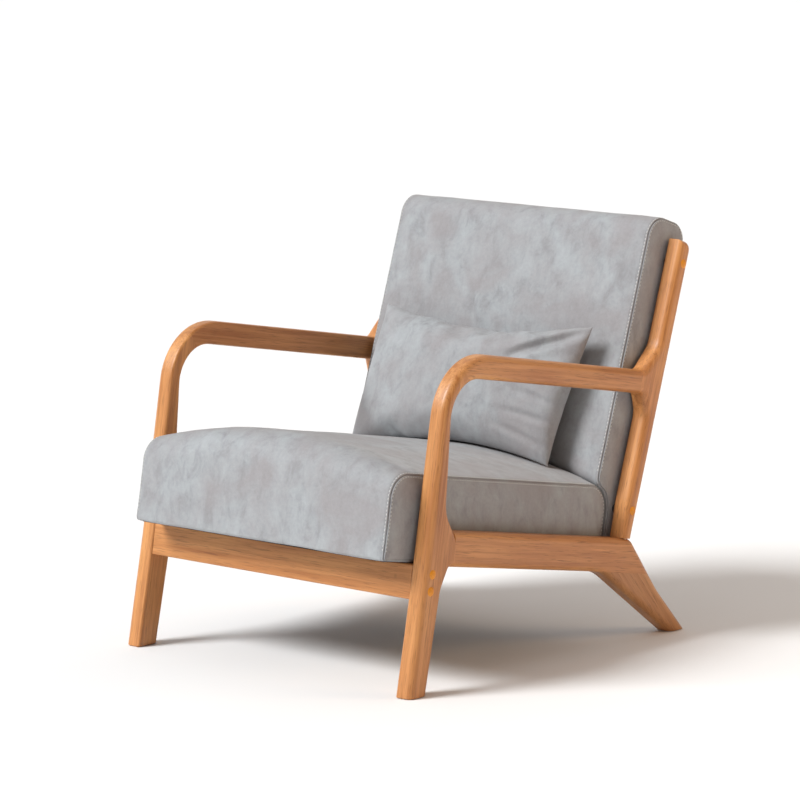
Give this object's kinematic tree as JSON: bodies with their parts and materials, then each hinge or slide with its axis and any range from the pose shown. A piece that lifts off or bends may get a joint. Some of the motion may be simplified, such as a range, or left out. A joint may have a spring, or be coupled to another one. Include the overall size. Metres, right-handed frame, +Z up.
{
  "type": "wooden armchair",
  "caption": "Open-framed wooden easy chair: bent arms, raked back, thick grey seat and back cushions and a loose lumbar pillow.",
  "frame": {"origin": "on the floor, in the middle of the chair's box in plan", "axes": "+Z up; the chair faces -Y; +X is the sitter's left"},
  "size_m": [0.666, 0.8293, 0.752],
  "materials": {
    "frame_wood": "satin orange-brown lacquer",
    "hidden_wood": "bare pine",
    "upholstery_fabric": "brushed microsuede, soft mottled grey",
    "dust_fabric": "thin non-woven sheet",
    "webbing": "woven elastic webbing",
    "filling": "soft foam and fibre",
    "steel": "zinc plated",
    "cap_plastic": "orange-brown moulded plastic",
    "spacer_plastic": "moulded black plastic",
    "glide_plastic": "moulded brown plastic"
  },
  "bodies": {
    "chair": {"armrest_left": "frame_wood", "armrest_right": "frame_wood", "back_bolt_inserts_left": "steel", "back_bolt_inserts_right": "steel", "back_cover": "upholstery_fabric", "back_foam": "filling", "back_frame_bottom_bar": "hidden_wood", "back_frame_stile_left": "hidden_wood", "back_frame_stile_right": "hidden_wood", "back_frame_top_bar": "hidden_wood", "back_post_left": "frame_wood", "back_post_right": "frame_wood", "back_spacers_left": "spacer_plastic", "back_spacers_right": "spacer_plastic", "back_straps_crosswise": "webbing", "back_straps_upright": "webbing", "barrel_nuts": "steel", "frame_dowels_left": "hidden_wood", "frame_dowels_right": "hidden_wood", "front_foot_glide_left": "glide_plastic", "front_foot_glide_right": "glide_plastic", "front_leg_left": "frame_wood", "front_leg_right": "frame_wood", "front_rail": "frame_wood", "leg_bolt_caps_left": "cap_plastic", "leg_bolt_caps_right": "cap_plastic", "leg_bolts_left": "steel", "leg_bolts_right": "steel", "post_bolt_caps_left": "cap_plastic", "post_bolt_caps_right": "cap_plastic", "post_bolts_left": "steel", "post_bolts_right": "steel", "rear_foot_glide_left": "glide_plastic", "rear_foot_glide_right": "glide_plastic", "rear_leg_left": "frame_wood", "rear_leg_right": "frame_wood", "seat_bolt_insert_left": "steel", "seat_bolt_insert_right": "steel", "seat_corner_block_left": "hidden_wood", "seat_corner_block_right": "hidden_wood", "seat_cover": "upholstery_fabric", "seat_dust_cover": "dust_fabric", "seat_foam": "filling", "seat_frame_front_bar": "hidden_wood", "seat_frame_mounting_bar": "hidden_wood", "seat_frame_rear_bar": "hidden_wood", "seat_frame_side_left": "hidden_wood", "seat_frame_side_right": "hidden_wood", "seat_screws": "steel", "seat_side_bolt_left": "steel", "seat_side_bolt_right": "steel", "seat_spacer_left": "spacer_plastic", "seat_spacer_right": "spacer_plastic", "seat_straps_crosswise": "webbing", "seat_straps_lengthwise": "webbing", "side_rail_left": "frame_wood", "side_rail_right": "frame_wood"},
    "pillow": {"pillow_cover": "upholstery_fabric", "pillow_filling": "filling"}
  },
  "joints": [
    {"name": "pillow_lift", "type": "slide", "parent": "chair", "child": "pillow", "axis": [0, 0, 1], "range_m": [0, 0.45]}
  ]
}
